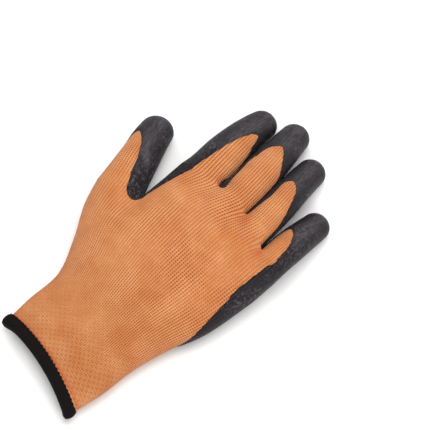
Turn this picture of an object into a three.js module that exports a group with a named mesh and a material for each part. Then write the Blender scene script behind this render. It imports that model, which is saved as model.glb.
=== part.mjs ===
// Latex coated grip glove, right hand, lying palm down with its fingers lightly curled.
// Millimetres, Z up, fingers toward +Y, thumb on the -X side.
import * as THREE from "three";

// Main sizes of the glove as it lies
const GLOVE_LENGTH = 220;
const HAND_WIDTH = 90;
const KNUCKLE_HEIGHT = 36;
const KNIT_WALL = 1.6;
const FILM_THICKNESS = 0.9;
const PIECE_GAP = 0.3;
const BINDING_WIDTH = 7.2;
const BINDING_THICKNESS = 1.9;

// How finely the skin of the glove is divided
const FINGER_COLUMNS = 4;
const THUMB_COLUMNS = 5;
const WRIST_ROWS = 13;
const PALM_ROWS = 4;
const FINGER_ROWS = 7;
const THUMB_ROWS = 5;
const TIP_ANGLES = [28, 54, 74];

// Wrist and palm sections from the hem to the thumb crotch.
// along: share of the length. slant: how far the little finger side lies behind the thumb side.
// bow, under: how far the middle of the back and of the underside is drawn toward the fingers.
// middle, half: shares of the hand width. centre, top, bottom: shares of the knuckle height.
const WRIST_SECTIONS = [
  { along: 0.009, slant: 0.063, bow: 0.018, under: 0.042, middle: -0.024, half: 0.376, centre: 0.26, top: 0.23, bottom: 0.2, power: 2.3 },
  { along: 0.12, slant: 0.05, bow: 0.01, under: 0.012, middle: 0.0, half: 0.388, centre: 0.31, top: 0.31, bottom: 0.36, power: 2.3 },
  { along: 0.22, slant: 0.05, bow: 0, under: 0, middle: 0.018, half: 0.396, centre: 0.33, top: 0.36, bottom: 0.38, power: 2.3 },
  { along: 0.32, slant: 0.04, bow: 0, under: 0, middle: 0.002, half: 0.478, centre: 0.36, top: 0.43, bottom: 0.38, power: 2.3 },
  { along: 0.415, slant: 0.03, bow: 0, under: 0, middle: -0.016, half: 0.585, centre: 0.38, top: 0.50, bottom: 0.36, power: 2.2 },
];

// The thumb and the palm where they part, then the palm nearer the fingers
const THUMB_ROOT = { along: 0.5091, across: -0.512, centre: 0.43, half: 0.165, top: 0.36, bottom: 0.33, power: 2 };
const PALM_ROOT = { along: 0.5307, across: 0.152, centre: 0.46, half: 0.492, top: 0.50, bottom: 0.30, power: 2.3 };
const PALM_MIDDLE = { along: 0.6073, across: 0.17, centre: 0.5, half: 0.487, top: 0.5, bottom: 0.30, power: 2.4 };

// One row a finger: root and tip centres, headings at both ends (degrees; yaw toward the little finger,
// pitch downward), and half width (root, just past it, middle, tip) and half height as shares of hand width.
const FINGERS = [
  { name: "index", along: 0.674, across: -0.165, height: 0.71, tipAlong: 0.9234, tipAcross: -0.202, tipHeight: 0.25,
    yaw: -5, tipYaw: 1, pitch: 8, tipPitch: 30, rootHalf: 0.15, nearHalf: 0.127, midHalf: 0.114, tipHalf: 0.09, deep: 0.098, tipDeep: 0.085 },
  { name: "middle", along: 0.6897, across: 0.098, height: 0.75, tipAlong: 0.9568, tipAcross: 0.012, tipHeight: 0.25,
    yaw: -1, tipYaw: -12, pitch: 8, tipPitch: 32, rootHalf: 0.113, nearHalf: 0.114, midHalf: 0.113, tipHalf: 0.09, deep: 0.1, tipDeep: 0.086 },
  { name: "ring", along: 0.6809, across: 0.333, height: 0.72, tipAlong: 0.9156, tipAcross: 0.262, tipHeight: 0.25,
    yaw: -1, tipYaw: -8, pitch: 8, tipPitch: 32, rootHalf: 0.122, nearHalf: 0.097, midHalf: 0.095, tipHalf: 0.088, deep: 0.096, tipDeep: 0.083 },
  { name: "little", along: 0.6416, across: 0.553, height: 0.62, tipAlong: 0.8154, tipAcross: 0.54, tipHeight: 0.24,
    yaw: 1, tipYaw: -2, pitch: 8, tipPitch: 28, rootHalf: 0.102, nearHalf: 0.094, midHalf: 0.094, tipHalf: 0.086, deep: 0.09, tipDeep: 0.08 },
];
const THUMB = {
  name: "thumb", tipAlong: 0.6956, tipAcross: -0.63, tipHeight: 0.31,
  yaw: -14, tipYaw: -16, pitch: 2, tipPitch: 22, nearHalf: 0.148, midHalf: 0.122, tipHalf: 0.103, deep: 0.118, tipDeep: 0.092,
};

// Where the latex ends on the back of each finger: at a share of the finger's length, the bare knit
// runs from the left angle to the right angle round the finger, both measured from its back.
const BARE_BACKS = {
  index: [
    { at: 0, left: -20, right: 112 }, { at: 0.3, left: -8, right: 112 }, { at: 0.55, left: 6, right: 88 },
    { at: 0.72, left: 35, right: 42 },
  ],
  middle: [
    { at: 0, left: -112, right: 112 }, { at: 0.44, left: -95, right: 98 }, { at: 0.54, left: -46, right: 62 },
    { at: 0.66, left: -24, right: 32 }, { at: 0.75, left: 8, right: 12 },
  ],
  ring: [
    { at: 0, left: -112, right: 105 }, { at: 0.28, left: -110, right: 78 }, { at: 0.5, left: -92, right: 46 },
    { at: 0.6, left: -46, right: 28 }, { at: 0.68, left: -8, right: -2 },
  ],
  little: [
    { at: 0, left: -110, right: 28 }, { at: 0.28, left: -110, right: 18 }, { at: 0.45, left: -80, right: 6 },
    { at: 0.57, left: -20, right: -14 },
  ],
  thumb: [
    { at: 0, left: -125, right: 20 }, { at: 0.25, left: -115, right: 7 }, { at: 0.5, left: -95, right: 5 },
    { at: 0.72, left: -70, right: -10 }, { at: 0.82, left: -32, right: -28 },
  ],
};

// Edge of the latex on the hand: heights on both sides, the heel line and the lobe at the thumb crotch
const HAND_EDGES = [
  { along: 0.3, little: 0.2, thumb: 0.16 },
  { along: 0.345, little: 0.32, thumb: 0.16 },
  { along: 0.4, little: 0.48, thumb: 0.18 },
  { along: 0.46, little: 0.64, thumb: 0.28 },
  { along: 0.52, little: 0.73, thumb: 0.54 },
  { along: 0.58, little: 0.77, thumb: 0.7 },
  { along: 0.64, little: 0.79, thumb: 0.84 },
  { along: 0.7, little: 0.8, thumb: 0.93 },
];
const HEEL_LINE = 0.325;
const LOBE_REACH = 0.062;
const CROTCH_LINE = 0.66;

const mm = {
  x: (share) => share * HAND_WIDTH,
  y: (share) => share * GLOVE_LENGTH,
  z: (share) => share * KNUCKLE_HEIGHT,
};
const radians = THREE.MathUtils.degToRad;

// Smooth value of one column of a table at a place between its rows
function readTable(rows, place, column, key) {
  const last = rows.length - 1;
  let i = 0;
  while (i < last - 1 && rows[i + 1][key] < place) i += 1;
  const at = (k) => rows[Math.min(Math.max(k, 0), last)];
  const span = rows[i + 1][key] - rows[i][key];
  const t = Math.min(Math.max((place - rows[i][key]) / span, 0), 1);
  const slope = (k) => {
    const before = at(k - 1);
    const after = at(k + 1);
    return ((after[column] - before[column]) / (after[key] - before[key])) * span;
  };
  const a = rows[i][column];
  const b = rows[i + 1][column];
  const t2 = t * t;
  const t3 = t2 * t;
  return (2 * t3 - 3 * t2 + 1) * a + (t3 - 2 * t2 + t) * slope(i) + (3 * t2 - 2 * t3) * b + (t3 - t2) * slope(i + 1);
}

// Plain straight-line reading of a table
function readLine(rows, place, column, key) {
  const last = rows.length - 1;
  let i = 0;
  while (i < last - 1 && rows[i + 1][key] < place) i += 1;
  const t = (place - rows[i][key]) / (rows[i + 1][key] - rows[i][key]);
  return rows[i][column] + (rows[i + 1][column] - rows[i][column]) * Math.max(t, 0);
}

// Points at equal steps over half of an oval, from its left end over the top to its right end
function halfOval(half, rise, power, steps) {
  const fine = 240;
  const path = [];
  for (let i = 0; i <= fine; i += 1) {
    const angle = Math.PI * (1 - i / fine);
    const c = Math.cos(angle);
    const s = Math.sin(angle);
    path.push([half * Math.sign(c) * Math.abs(c) ** (2 / power), rise * Math.abs(s) ** (2 / power)]);
  }
  const lengths = [0];
  for (let i = 1; i <= fine; i += 1) {
    lengths.push(lengths[i - 1] + Math.hypot(path[i][0] - path[i - 1][0], path[i][1] - path[i - 1][1]));
  }
  const points = [];
  let k = 1;
  for (let i = 0; i <= steps; i += 1) {
    const want = (lengths[fine] * i) / steps;
    while (k < fine && lengths[k] < want) k += 1;
    const t = (want - lengths[k - 1]) / (lengths[k] - lengths[k - 1]);
    points.push([
      path[k - 1][0] + (path[k][0] - path[k - 1][0]) * t,
      path[k - 1][1] + (path[k][1] - path[k - 1][1]) * t,
    ]);
  }
  return points;
}

// One oval round a centre: its back and palm points from left to right, and its two end points
function oval(centre, across, up, half, top, bottom, power, columns) {
  const over = halfOval(half, top, power, columns + 2);
  const under = halfOval(half, bottom, power, columns + 2);
  const place = (point, side) => centre.clone().addScaledVector(across, point[0]).addScaledVector(up, side * point[1]);
  return {
    left: place(over[0], 1),
    right: place(over[columns + 2], 1),
    back: over.slice(1, columns + 2).map((point) => place(point, 1)),
    palm: under.slice(1, columns + 2).map((point) => place(point, -1)),
  };
}

const between = (a, b, t) => a.clone().lerp(b, t);

// Neighbouring ovals made into one ring that shares the points where they meet
function joined(lobes) {
  const ring = { left: lobes[0].left, right: lobes[lobes.length - 1].right, back: [], palm: [], webs: [] };
  lobes.forEach((lobe, index) => {
    for (const row of ["back", "palm"]) {
      if (index === 0) {
        ring[row].push(...lobe[row]);
      } else {
        const shared = ring[row].pop();
        ring[row].push(between(shared, lobe[row][0], 0.5), ...lobe[row].slice(1));
      }
    }
    if (index > 0) {
      ring.webs.push(between(lobes[index - 1].right, lobe.left, 0.5));
    }
  });
  return ring;
}

// The skin: points, faces and what is known about each point for placing the latex edge
const skin = { points: [], faces: [], marks: [] };

function addPoint(point, mark) {
  skin.points.push(point.clone());
  skin.marks.push(mark);
  return skin.points.length - 1;
}

function addRing(ring, mark) {
  const ids = {
    left: addPoint(ring.left, mark("left")),
    right: addPoint(ring.right, mark("right")),
    back: ring.back.map((point, i) => addPoint(point, mark("back", i))),
    palm: ring.palm.map((point, i) => addPoint(point, mark("palm", i))),
  };
  return ids;
}

const loop = (ids) => [...ids.back, ids.right, ...[...ids.palm].reverse(), ids.left];

function addTube(before, after) {
  const a = loop(before);
  const b = loop(after);
  for (let i = 0; i < a.length; i += 1) {
    const k = (i + 1) % a.length;
    skin.faces.push([a[i], a[k], b[k], b[i]]);
  }
}

// Sections of the wrist
const WRIST_COLUMNS = THUMB_COLUMNS + 4 * FINGER_COLUMNS;
function wristSection(along) {
  const value = (column) => readTable(WRIST_SECTIONS, along, column, "along");
  const half = mm.x(value("half"));
  const slant = mm.y(value("slant"));
  const bow = mm.y(value("bow"));
  const under = mm.y(value("under"));
  const middle = mm.x(value("middle"));
  const centre = new THREE.Vector3(middle, mm.y(along), mm.z(value("centre")));
  const ring = oval(
    centre,
    new THREE.Vector3(1, 0, 0),
    new THREE.Vector3(0, 0, 1),
    half,
    mm.z(value("top")),
    mm.z(value("bottom")),
    value("power"),
    WRIST_COLUMNS,
  );
  const lean = (point, rise) => {
    const f = (point.x - middle) / half;
    point.y += -slant * f * 0.5 + rise * (1 - f * f);
  };
  ring.back.forEach((point) => lean(point, bow));
  ring.palm.forEach((point) => lean(point, under));
  lean(ring.left, 0);
  lean(ring.right, 0);
  return ring;
}

function handOval(row, columns, yaw) {
  const heading = radians(yaw);
  return oval(
    new THREE.Vector3(mm.x(row.across), mm.y(row.along), mm.z(row.centre)),
    new THREE.Vector3(Math.cos(heading), -Math.sin(heading), 0),
    new THREE.Vector3(0, 0, 1),
    mm.x(row.half),
    mm.z(row.top),
    mm.z(row.bottom),
    row.power,
    columns,
  );
}

// Axis of a finger as a smooth curve from root centre to tip centre
function fingerCourse(finger, root) {
  const tip = new THREE.Vector3(mm.x(finger.tipAcross), mm.y(finger.tipAlong), mm.z(finger.tipHeight));
  const reach = root.distanceTo(tip) / 3;
  const toward = (yaw, pitch) => {
    const a = radians(yaw);
    const b = radians(pitch);
    return new THREE.Vector3(Math.sin(a) * Math.cos(b), Math.cos(a) * Math.cos(b), -Math.sin(b));
  };
  const start = root.clone().addScaledVector(toward(finger.yaw, finger.pitch), reach);
  const end = tip.clone().addScaledVector(toward(finger.tipYaw, finger.tipPitch), -reach);
  return new THREE.CubicBezierCurve3(root, start, end, tip);
}

function fingerFrame(course, t) {
  const ahead = course.getTangent(t);
  const across = new THREE.Vector3().crossVectors(ahead, new THREE.Vector3(0, 0, 1)).normalize();
  const up = new THREE.Vector3().crossVectors(across, ahead).normalize();
  return { centre: course.getPoint(t), ahead, across, up };
}

function fingerSize(finger, t) {
  const rows = [
    { at: 0, half: finger.rootHalf, deep: finger.deep },
    { at: 0.14, half: finger.nearHalf, deep: finger.deep },
    { at: 0.42, half: finger.midHalf, deep: finger.deep },
    { at: 1, half: finger.tipHalf, deep: finger.tipDeep },
  ];
  return {
    half: mm.x(readTable(rows, t, "half", "at")),
    deep: mm.x(readTable(rows, t, "deep", "at")),
  };
}

function fingerRing(finger, course, t, columns) {
  const frame = fingerFrame(course, t);
  const size = fingerSize(finger, t);
  return oval(frame.centre, frame.across, frame.up, size.half, size.deep, size.deep, 2.1, columns);
}

// Tube of a finger from its root ring to its rounded tip
function growFinger(finger, course, rootIds, rootRing, columns, rows) {
  let ids = rootIds;
  for (let row = 1; row <= rows; row += 1) {
    const t = row / rows;
    const ring = fingerRing(finger, course, t, columns);
    const next = addRing(ring, () => ({ finger, course, t, past: 0 }));
    addTube(ids, next);
    ids = next;
  }
  const frame = fingerFrame(course, 1);
  const size = fingerSize(finger, 1);
  const reach = (size.half + size.deep) / 2;
  for (const angle of TIP_ANGLES) {
    const shrink = Math.cos(radians(angle));
    const centre = frame.centre.clone().addScaledVector(frame.ahead, reach * Math.sin(radians(angle)));
    const ring = oval(centre, frame.across, frame.up, size.half * shrink, size.deep * shrink, size.deep * shrink, 2, columns);
    const next = addRing(ring, () => ({ finger, course, t: 1, past: angle / 90 }));
    addTube(ids, next);
    ids = next;
  }
  const pole = frame.centre.clone().addScaledVector(frame.ahead, reach);
  const mark = { finger, course, t: 1, past: 1 };
  const mid = [ids.left];
  const last = TIP_ANGLES[TIP_ANGLES.length - 1];
  for (let i = 1; i < columns; i += 1) {
    const f = (2 * i) / columns - 1;
    const out = size.half * Math.cos(radians(last)) * f * 0.8;
    mid.push(addPoint(pole.clone().addScaledVector(frame.across, out), mark));
  }
  mid.push(ids.right);
  for (let i = 0; i < columns; i += 1) {
    skin.faces.push([ids.back[i], ids.back[i + 1], mid[i + 1], mid[i]]);
    skin.faces.push([mid[i], mid[i + 1], ids.palm[i + 1], ids.palm[i]]);
  }
}

// Roots of the fingers, joined side by side
const courses = FINGERS.map((finger) =>
  fingerCourse(finger, new THREE.Vector3(mm.x(finger.across), mm.y(finger.along), mm.z(finger.height))),
);
const fingerRoots = FINGERS.map((finger, i) => fingerRing(finger, courses[i], 0, FINGER_COLUMNS));
const knuckleRing = joined(fingerRoots);
const thumbRoot = handOval(THUMB_ROOT, THUMB_COLUMNS, THUMB.yaw);
const palmRoot = handOval(PALM_ROOT, 4 * FINGER_COLUMNS, 0);
const palmMiddle = handOval(PALM_MIDDLE, 4 * FINGER_COLUMNS, 0);
const splitRing = joined([thumbRoot, palmRoot]);
THUMB.rootHalf = THUMB_ROOT.half;

// Smooth course of one point through the rings it belongs to
function through(points, t) {
  const curve = new THREE.CatmullRomCurve3(points, false, "centripetal");
  return curve.getPoint(t);
}

function mapRing(rings, t) {
  const at = (get) => through(rings.map(get), t);
  return {
    left: at((ring) => ring.left),
    right: at((ring) => ring.right),
    back: rings[0].back.map((_, i) => at((ring) => ring.back[i])),
    palm: rings[0].palm.map((_, i) => at((ring) => ring.palm[i])),
  };
}

// Wrist from the hem to the thumb crotch
const lastSection = WRIST_SECTIONS[WRIST_SECTIONS.length - 1].along;
const wristRings = WRIST_SECTIONS.map((row) => wristSection(row.along));
const wristKeys = [...wristRings, splitRing];
const hemStep = (BINDING_WIDTH + 1) / mm.y(WRIST_SECTIONS[1].along);
let wristIds = null;
const hemRows = [];
for (let row = 0; row < WRIST_ROWS; row += 1) {
  const spread = row === 0 ? 0 : (hemStep + ((row - 1) / (WRIST_ROWS - 1)) * (wristKeys.length - 1 - hemStep));
  const ring = mapRing(wristKeys, spread / (wristKeys.length - 1));
  const ids = addRing(ring, () => ({ hand: true }));
  if (row < 2) hemRows.push(loop(ids));
  if (wristIds) addTube(wristIds, ids);
  wristIds = ids;
}
const splitIds = addRing(splitRing, () => ({ hand: true }));
addTube(wristIds, splitIds);
const thumbWeb = addPoint(splitRing.webs[0], { hand: true, web: true });

const thumbIds = {
  left: splitIds.left,
  right: thumbWeb,
  back: splitIds.back.slice(0, THUMB_COLUMNS + 1),
  palm: splitIds.palm.slice(0, THUMB_COLUMNS + 1),
};
const palmIds = {
  left: thumbWeb,
  right: splitIds.right,
  back: splitIds.back.slice(THUMB_COLUMNS),
  palm: splitIds.palm.slice(THUMB_COLUMNS),
};
const palmStart = {
  left: splitRing.webs[0],
  right: splitRing.right,
  back: splitRing.back.slice(THUMB_COLUMNS),
  palm: splitRing.palm.slice(THUMB_COLUMNS),
};

// Palm from the thumb crotch to the finger roots
const palmKeys = [palmStart, palmMiddle, knuckleRing];
let handIds = palmIds;
for (let row = 1; row <= PALM_ROWS; row += 1) {
  const ring = mapRing(palmKeys, row / (PALM_ROWS + 1));
  const ids = addRing(ring, () => ({ hand: true }));
  addTube(handIds, ids);
  handIds = ids;
}
const knuckleIds = addRing(knuckleRing, () => ({ hand: true }));
addTube(handIds, knuckleIds);
const webIds = knuckleRing.webs.map((point) => addPoint(point, { hand: true, web: true }));

FINGERS.forEach((finger, i) => {
  const from = i * FINGER_COLUMNS;
  const ids = {
    left: i === 0 ? knuckleIds.left : webIds[i - 1],
    right: i === FINGERS.length - 1 ? knuckleIds.right : webIds[i],
    back: knuckleIds.back.slice(from, from + FINGER_COLUMNS + 1),
    palm: knuckleIds.palm.slice(from, from + FINGER_COLUMNS + 1),
  };
  growFinger(finger, courses[i], ids, fingerRoots[i], FINGER_COLUMNS, FINGER_ROWS);
});
const thumbCentre = new THREE.Vector3(mm.x(THUMB_ROOT.across), mm.y(THUMB_ROOT.along), mm.z(THUMB_ROOT.centre));
const thumbCourse = fingerCourse(THUMB, thumbCentre);
growFinger(THUMB, thumbCourse, thumbIds, thumbRoot, THUMB_COLUMNS, THUMB_ROWS);

// Knitting has no sharp corners: ease the skin round the crotches
const neighbours = skin.points.map(() => new Set());
for (const face of skin.faces) {
  face.forEach((a, i) => {
    const b = face[(i + 1) % face.length];
    neighbours[a].add(b);
    neighbours[b].add(a);
  });
}
const crotches = [skin.points[thumbWeb], ...webIds.map((id) => skin.points[id])].map((point) => point.clone());
function easeSkin(times, reach, most) {
  for (let time = 0; time < times; time += 1) {
    const moved = skin.points.map((point, i) => {
      const near = Math.min(...crotches.map((crotch) => crotch.distanceTo(point)));
      const weight = most * Math.max(0, 1 - near / reach);
      if (weight <= 0) return point;
      const mean = new THREE.Vector3();
      neighbours[i].forEach((k) => mean.add(skin.points[k]));
      mean.divideScalar(neighbours[i].size);
      return between(point, mean, weight);
    });
    skin.points = moved;
  }
}
easeSkin(3, mm.x(0.3), 0.5);

// The glove lies on the floor: its underside is pressed flat there
const smooth = (value, low, high) => THREE.MathUtils.smoothstep(value, low, high);
const heelY = mm.y(HEEL_LINE);
skin.points.forEach((point) => {
  const hem = (BINDING_THICKNESS + PIECE_GAP) * (1 - smooth(point.y, mm.y(0.1), mm.y(0.17)));
  const film = (FILM_THICKNESS + PIECE_GAP) * smooth(point.y, heelY - mm.y(0.095), heelY - mm.y(0.045));
  point.z = Math.max(point.z, hem + film);
});

// How far inside the latex each point of the skin lies
const crotchPoint = skin.points[splitIds.back[THUMB_COLUMNS]];
function bareEdges(finger, t, past) {
  const rows = BARE_BACKS[finger.name];
  const end = rows[rows.length - 1];
  if (t <= end.at && past === 0) {
    return { left: readLine(rows, t, "left", "at"), right: readLine(rows, t, "right", "at") };
  }
  const beyond = (t - end.at) * 300 + past * 200;
  return { left: end.left + beyond, right: end.right - beyond };
}

function handDepth(point) {
  const lobe = mm.x(LOBE_REACH) - point.distanceTo(crotchPoint);
  const place = Math.min(point.y / GLOVE_LENGTH, 0.7);
  const thumbSide = 1 - smooth(point.x, mm.x(-0.26), mm.x(-0.17));
  const littleSide = smooth(point.x, mm.x(0.36), mm.x(0.52));
  const line =
    thumbSide * readLine(HAND_EDGES, place, "thumb", "along") +
    littleSide * readLine(HAND_EDGES, place, "little", "along") +
    (1 - thumbSide - littleSide) * CROTCH_LINE;
  const depth = Math.min(mm.z(line) - point.z, point.y - heelY);
  return Math.max(depth, lobe);
}

function fingerDepth(point, mark) {
  const frame = fingerFrame(mark.course, mark.t);
  const size = fingerSize(mark.finger, mark.t);
  const offset = point.clone().sub(frame.centre);
  const angle = THREE.MathUtils.radToDeg(Math.atan2(offset.dot(frame.across), offset.dot(frame.up)));
  const edges = bareEdges(mark.finger, mark.t, mark.past);
  const middle = (edges.left + edges.right) / 2;
  let turn = angle - middle;
  if (turn > 180) turn -= 360;
  if (turn < -180) turn += 360;
  const outside = Math.abs(turn) - (edges.right - edges.left) / 2;
  const depth = radians(outside) * (size.half + size.deep) * 0.5;
  const root = 1 - smooth(mark.t, 0, 0.32);
  return depth + (handDepth(point) - depth) * root;
}

const depths = skin.points.map((point, i) => {
  const mark = skin.marks[i];
  let depth = mark.finger ? fingerDepth(point, mark) : handDepth(point);
  if (mark.web) depth = Math.max(depth, 2);
  if (Math.abs(depth) < 0.4) depth = depth < 0 ? -0.4 : 0.4;
  return depth;
});

// Faces to triangles, cut along the shorter diagonal
const triangles = [];
for (const [a, b, c, d] of skin.faces) {
  const p = skin.points;
  if (p[a].distanceTo(p[c]) < p[b].distanceTo(p[d])) {
    triangles.push([a, b, c], [a, c, d]);
  } else {
    triangles.push([a, b, d], [b, c, d]);
  }
}
const normals = skin.points.map(() => new THREE.Vector3());
const meeting = skin.points.map(() => []);
for (const [a, b, c] of triangles) {
  const p = skin.points;
  const normal = new THREE.Vector3().crossVectors(p[b].clone().sub(p[a]), p[c].clone().sub(p[a])).normalize();
  [[a, b, c], [b, c, a], [c, a, b]].forEach(([at, on, back]) => {
    const angle = p[on].clone().sub(p[at]).angleTo(p[back].clone().sub(p[at]));
    normals[at].addScaledVector(normal, angle);
    meeting[at].push(normal);
  });
}
normals.forEach((normal, id) => {
  normal.normalize();
  for (let turn = 0; turn < 30; turn += 1) {
    const worst = meeting[id].reduce((least, face) => (face.dot(normal) < least.dot(normal) ? face : least));
    if (worst.dot(normal) > 0.5) break;
    normal.addScaledVector(worst, 0.15).normalize();
  }
});
const raised = (id, height) => skin.points[id].clone().addScaledVector(normals[id], height);

// A closed body from a list of points and triangles
function body(name, points, faces, colour) {
  const geometry = new THREE.BufferGeometry();
  const position = new Float32Array(points.length * 3);
  points.forEach((point, i) => position.set([point.x, point.y, point.z], i * 3));
  geometry.setAttribute("position", new THREE.BufferAttribute(position, 3));
  geometry.setIndex(faces.flat());
  geometry.computeVertexNormals();
  const mesh = new THREE.Mesh(geometry, new THREE.MeshStandardMaterial({ color: colour }));
  mesh.name = name;
  return mesh;
}

// The knitted liner: the skin and the same skin one wall further in, closed round the hem
function knitLiner() {
  const count = skin.points.length;
  const points = [...skin.points.map((_, i) => raised(i, 0)), ...skin.points.map((_, i) => raised(i, -KNIT_WALL))];
  const faces = [];
  triangles.forEach(([a, b, c]) => {
    faces.push([a, b, c], [a + count, c + count, b + count]);
  });
  const hem = hemRows[0];
  hem.forEach((a, i) => {
    const b = hem[(i + 1) % hem.length];
    faces.push([a, b + count, b], [a, a + count, b + count]);
  });
  return body("knit_liner", points, faces, 0xe8965a);
}

// The latex film: the part of the skin inside the dip line, raised by the gap and by the film
function latexCoating() {
  const points = [];
  const faces = [];
  const made = new Map();
  const inner = PIECE_GAP;
  const outer = PIECE_GAP + FILM_THICKNESS;
  const point = (key, low, high) => {
    if (!made.has(key)) {
      made.set(key, points.length);
      points.push(high(), low());
    }
    return made.get(key);
  };
  const whole = (id) => point(`${id}`, () => raised(id, inner), () => raised(id, outer));
  const cut = (a, b) => {
    const [from, to] = a < b ? [a, b] : [b, a];
    const t = depths[from] / (depths[from] - depths[to]);
    return point(
      `${from}_${to}`,
      () => between(raised(from, inner), raised(to, inner), t),
      () => between(raised(from, outer), raised(to, outer), t),
    );
  };
  for (const triangle of triangles) {
    const loopIds = [];
    const edge = [];
    triangle.forEach((a, i) => {
      const b = triangle[(i + 1) % 3];
      if (depths[a] > 0) loopIds.push(whole(a));
      if (depths[a] > 0 !== depths[b] > 0) {
        const id = cut(a, b);
        loopIds.push(id);
        edge.push({ id, leaving: depths[a] > 0 });
      }
    });
    for (let i = 1; i + 1 < loopIds.length; i += 1) {
      const [a, b, c] = [loopIds[0], loopIds[i], loopIds[i + 1]];
      faces.push([a, b, c], [a + 1, c + 1, b + 1]);
    }
    if (edge.length === 2) {
      const from = edge.find((end) => end.leaving).id;
      const to = edge.find((end) => !end.leaving).id;
      faces.push([from, from + 1, to + 1], [from, to + 1, to]);
    }
  }
  return body("latex_coating", points, faces, 0x3b373a);
}

// The overlocked binding: a rounded band folded over the hem, outside and inside
function cuffBinding() {
  const thick = BINDING_THICKNESS;
  const wide = BINDING_WIDTH;
  const out = PIECE_GAP;
  const inside = -KNIT_WALL - PIECE_GAP;
  const profile = [
    { along: -wide, raise: out },
    { along: -wide * 0.93, raise: out + thick * 0.75 },
    { along: -wide * 0.25, raise: out + thick },
    { along: out + thick * 0.6, raise: out + thick * 0.3 },
    { along: out + thick * 0.8, raise: (out + inside) / 2 },
    { along: out + thick * 0.6, raise: inside - thick * 0.25 },
    { along: -wide * 0.25, raise: inside - thick * 0.7 },
    { along: -wide * 0.8, raise: inside - thick * 0.55 },
    { along: -wide * 0.86, raise: inside },
    { along: out, raise: inside },
    { along: out, raise: out },
  ];
  const [hem, next] = hemRows;
  const points = [];
  hem.forEach((id, i) => {
    const base = skin.points[id];
    const step = skin.points[next[i]].clone().sub(base);
    const length = step.length();
    profile.forEach(({ along, raise }) => {
      const share = -along / length;
      const place = base.clone().addScaledVector(step, share);
      const normal = normals[id].clone().lerp(normals[next[i]], Math.min(Math.max(share, 0), 1)).normalize();
      points.push(place.addScaledVector(normal, raise));
    });
  });
  const faces = [];
  const count = profile.length;
  hem.forEach((_, i) => {
    const k = (i + 1) % hem.length;
    for (let j = 0; j < count; j += 1) {
      const m = (j + 1) % count;
      const [a, b, c, d] = [i * count + j, k * count + j, k * count + m, i * count + m];
      faces.push([a, c, b], [a, d, c]);
    }
  });
  return body("cuff_binding", points, faces, 0x221d1d);
}

// Stand the whole glove on the floor, centred on the origin
const glove = new THREE.Group();
glove.name = "latex_grip_glove";
glove.add(knitLiner(), latexCoating(), cuffBinding());
const box = new THREE.Box3().setFromObject(glove);
const middle = box.getCenter(new THREE.Vector3());
glove.children.forEach((mesh) => mesh.geometry.translate(-middle.x, -middle.y, -box.min.z));

export default glove;
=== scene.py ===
import bpy
import numpy as np
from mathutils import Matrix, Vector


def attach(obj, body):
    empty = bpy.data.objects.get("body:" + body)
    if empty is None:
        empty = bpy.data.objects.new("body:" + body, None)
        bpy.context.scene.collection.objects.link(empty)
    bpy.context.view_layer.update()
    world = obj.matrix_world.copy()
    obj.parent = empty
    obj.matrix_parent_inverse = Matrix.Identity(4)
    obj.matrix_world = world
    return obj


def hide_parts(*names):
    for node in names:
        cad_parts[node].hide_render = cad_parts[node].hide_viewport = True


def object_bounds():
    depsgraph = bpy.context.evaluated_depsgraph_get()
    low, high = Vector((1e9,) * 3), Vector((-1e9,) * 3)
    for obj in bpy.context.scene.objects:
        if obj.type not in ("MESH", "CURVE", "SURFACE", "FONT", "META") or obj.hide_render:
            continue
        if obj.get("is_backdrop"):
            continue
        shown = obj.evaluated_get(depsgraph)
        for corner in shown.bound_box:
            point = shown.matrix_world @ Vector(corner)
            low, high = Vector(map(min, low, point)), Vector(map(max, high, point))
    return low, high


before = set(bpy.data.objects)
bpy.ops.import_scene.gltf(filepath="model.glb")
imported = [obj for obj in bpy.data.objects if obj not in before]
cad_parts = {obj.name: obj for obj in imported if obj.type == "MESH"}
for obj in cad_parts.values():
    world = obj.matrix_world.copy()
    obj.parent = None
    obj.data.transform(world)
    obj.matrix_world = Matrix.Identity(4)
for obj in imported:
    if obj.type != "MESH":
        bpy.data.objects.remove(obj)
solid_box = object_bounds()

# Camera and studio: a long lens nearly two metres away, over the little finger's side of the cuff,
# looks steeply down along the fingers. The glove lies on a pale floor under broad soft lights.
VIEW_CENTRE = np.array([0.00336, 0.04005, 0.0])
VIEW_HEIGHT = np.radians(68.0)
VIEW_TURN = np.radians(45.0)
VIEW_WIDTH = 0.2494
LENS = 250.0
FILM_WIDTH = 36.0
FLOOR_REACH = 3.0
FLOOR_COLOUR = (0.94, 0.94, 0.94, 1)
ROOM_COLOUR = (1.0, 1.0, 1.0, 1)
ROOM_LIGHT = 0.58


def turn_toward(direction):
    """Rotation of a lamp or camera whose line of sight, its own -Z, is turned to a direction."""
    x, y, z = direction
    return float(np.arctan2(np.hypot(x, y), -z)), 0.0, float(np.arctan2(-x, y))


def set_shader(material, inputs):
    """Sets a material's Principled shader by the names of its inputs: sockets are linked, values put in."""
    material.use_nodes = True
    shader = material.node_tree.nodes["Principled BSDF"]
    for name, value in inputs.items():
        if isinstance(value, bpy.types.NodeSocket):
            material.node_tree.links.new(value, shader.inputs[name])
        else:
            shader.inputs[name].default_value = value


toward_camera = np.array([
    np.sin(VIEW_TURN) * np.cos(VIEW_HEIGHT),
    -np.cos(VIEW_TURN) * np.cos(VIEW_HEIGHT),
    np.sin(VIEW_HEIGHT),
])
camera_data = bpy.data.cameras.new("camera")
camera_data.lens = LENS
camera_data.sensor_width = FILM_WIDTH
camera_data.clip_end = 20.0
camera = bpy.data.objects.new("camera", camera_data)
bpy.context.scene.collection.objects.link(camera)
camera.location = VIEW_CENTRE + toward_camera * VIEW_WIDTH * LENS / FILM_WIDTH
camera.rotation_euler = turn_toward(-toward_camera)
bpy.context.scene.camera = camera

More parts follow.
